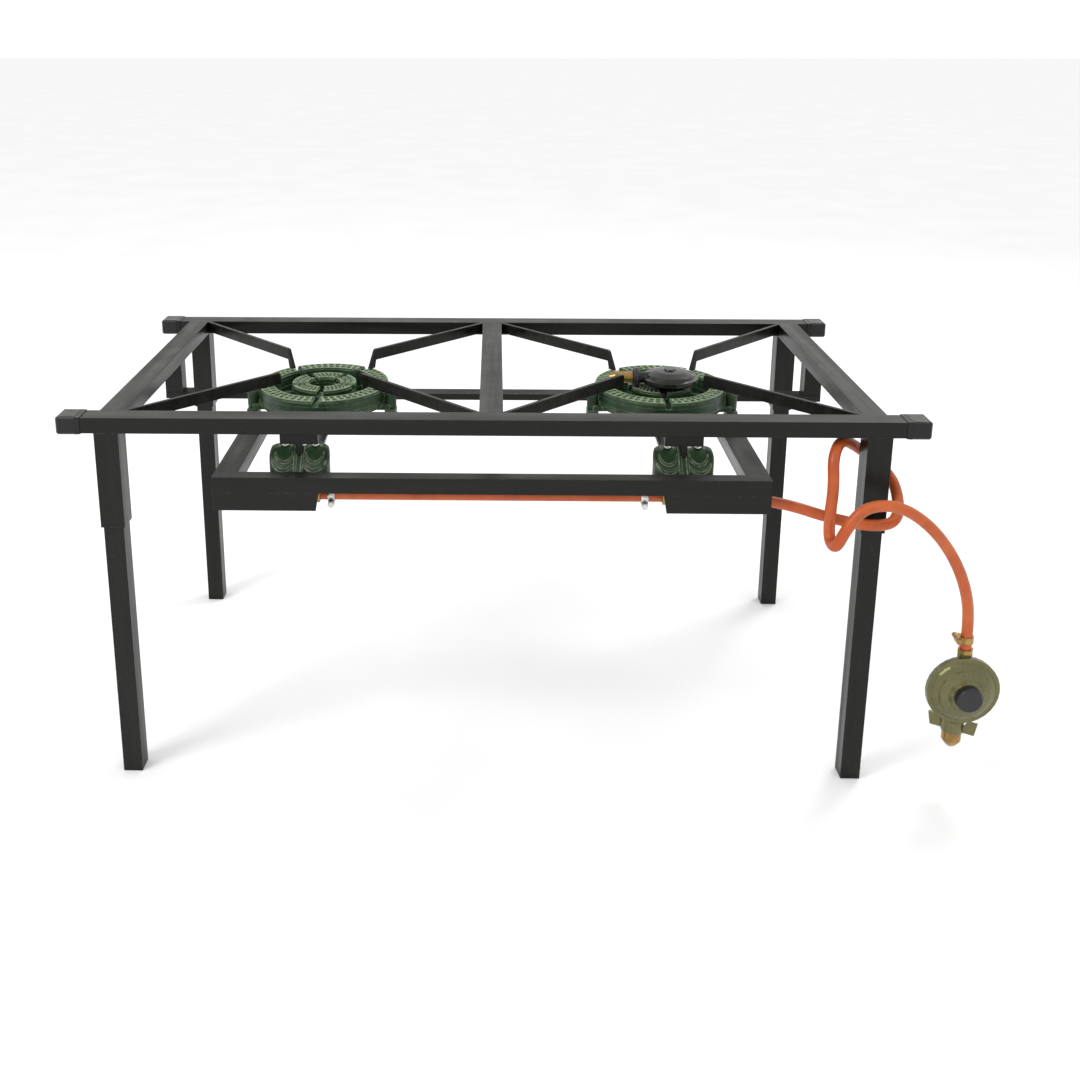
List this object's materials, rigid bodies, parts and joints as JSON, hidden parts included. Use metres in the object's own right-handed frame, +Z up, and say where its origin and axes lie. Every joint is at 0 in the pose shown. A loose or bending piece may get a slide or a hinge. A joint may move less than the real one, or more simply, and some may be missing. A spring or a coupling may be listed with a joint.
{
  "type": "pot range",
  "caption": "Low steel stock pot range: ring burners on a hung carrier under diagonal pot bars, plug-in square legs, orange gas hose looped round one leg, and a hanging regulator.",
  "frame": {"origin": "on the floor under the middle of the frame, measured without the hose and what hangs on it", "axes": "+Z up, +X along the length to the right, +Y to the back; the burner carrier stands out at the front"},
  "size_m": [1.181, 0.5669, 0.4965],
  "materials": {
    "black_paint": "gloss black paint",
    "cap_plastic": "gloss black",
    "green_paint": "green paint, dusty",
    "brass": "machined",
    "orange_rubber": "satin",
    "gold_paint": "metallic olive gold",
    "dark_enamel": "gloss",
    "black_plastic": "satin",
    "bright_steel": "zinc plated"
  },
  "bodies": {
    "frame": {"front_rail": "black_paint", "back_rail": "black_paint", "left_rail": "black_paint", "centre_rail": "black_paint", "right_rail": "black_paint", "carrier_front_rail": "black_paint", "burner_cross_rail": "black_paint", "rear_cross_bar": "black_paint", "leg_sleeve_front_left": "black_paint", "leg_sleeve_front_right": "black_paint", "leg_sleeve_back_left": "black_paint", "leg_sleeve_back_right": "black_paint", "carrier_side_left": "black_paint", "burner_strap_left": "black_paint", "rear_hanger_left": "black_paint", "valve_guard_left": "black_paint", "mixer_hanger_left": "black_paint", "pot_bar_left_front_outer": "black_paint", "pot_bar_left_front_inner": "black_paint", "pot_bar_left_back_outer": "black_paint", "pot_bar_left_back_inner": "black_paint", "burner_body_left": "green_paint", "outer_ring_left": "green_paint", "inner_ring_left": "green_paint", "mixer_left": "green_paint", "gas_tap_left": "brass", "carrier_side_right": "black_paint", "burner_strap_right": "black_paint", "rear_hanger_right": "black_paint", "valve_guard_right": "black_paint", "mixer_hanger_right": "black_paint", "pot_bar_right_front_outer": "black_paint", "pot_bar_right_front_inner": "black_paint", "pot_bar_right_back_outer": "black_paint", "pot_bar_right_back_inner": "black_paint", "burner_body_right": "green_paint", "outer_ring_right": "green_paint", "inner_ring_right": "green_paint", "mixer_right": "green_paint", "gas_tap_right": "brass", "rail_end_caps": "cap_plastic", "burner_bolts": "bright_steel", "hose_clamps": "bright_steel", "link_hose": "orange_rubber", "supply_hose": "orange_rubber", "regulator_body": "gold_paint", "regulator_bonnet": "gold_paint", "regulator_cap": "black_plastic", "regulator_nozzle": "brass", "regulator_nose": "brass"},
    "leg_front_left": {"leg_front_left": "black_paint"},
    "leg_front_right": {"leg_front_right": "black_paint"},
    "leg_back_left": {"leg_back_left": "black_paint"},
    "leg_back_right": {"leg_back_right": "black_paint"},
    "tap_knob_left": {"tap_knob_left": "black_plastic"},
    "tap_knob_right": {"tap_knob_right": "black_plastic"},
    "wing_nut": {"wing_nut": "gold_paint"},
    "spare_regulator": {"spare_regulator": "dark_enamel", "spare_fitting": "brass"},
    "spare_handwheel": {"spare_handwheel": "black_plastic"}
  },
  "joints": [
    {"name": "leg_front_left_pull", "type": "slide", "parent": "frame", "child": "leg_front_left", "axis": [0, 0, -1], "range_m": [0, 0.12]},
    {"name": "leg_front_right_pull", "type": "slide", "parent": "frame", "child": "leg_front_right", "axis": [0, 0, -1], "range_m": [0, 0.12]},
    {"name": "leg_back_left_pull", "type": "slide", "parent": "frame", "child": "leg_back_left", "axis": [0, 0, -1], "range_m": [0, 0.12]},
    {"name": "leg_back_right_pull", "type": "slide", "parent": "frame", "child": "leg_back_right", "axis": [0, 0, -1], "range_m": [0, 0.12]},
    {"name": "tap_left_turn", "type": "hinge", "parent": "frame", "child": "tap_knob_left", "pos_m": [-0.24, -0.228, 0.3785], "axis": [0, 0, -1], "range_deg": [0, 90]},
    {"name": "tap_right_turn", "type": "hinge", "parent": "frame", "child": "tap_knob_right", "pos_m": [0.24, -0.228, 0.3785], "axis": [0, 0, -1], "range_deg": [0, 90]},
    {"name": "wing_nut_turn", "type": "hinge", "parent": "frame", "child": "wing_nut", "pos_m": [0.597, -0.25, 0.088], "axis": [0, 0, 1], "continuous": true},
    {"name": "spare_regulator_lift", "type": "slide", "parent": "frame", "child": "spare_regulator", "axis": [0, 0, 1], "range_m": [0, 0.15]},
    {"name": "spare_handwheel_turn", "type": "hinge", "parent": "spare_regulator", "child": "spare_handwheel", "pos_m": [0.203, -0.016, 0.481], "axis": [-1, 0, 0], "continuous": true}
  ]
}
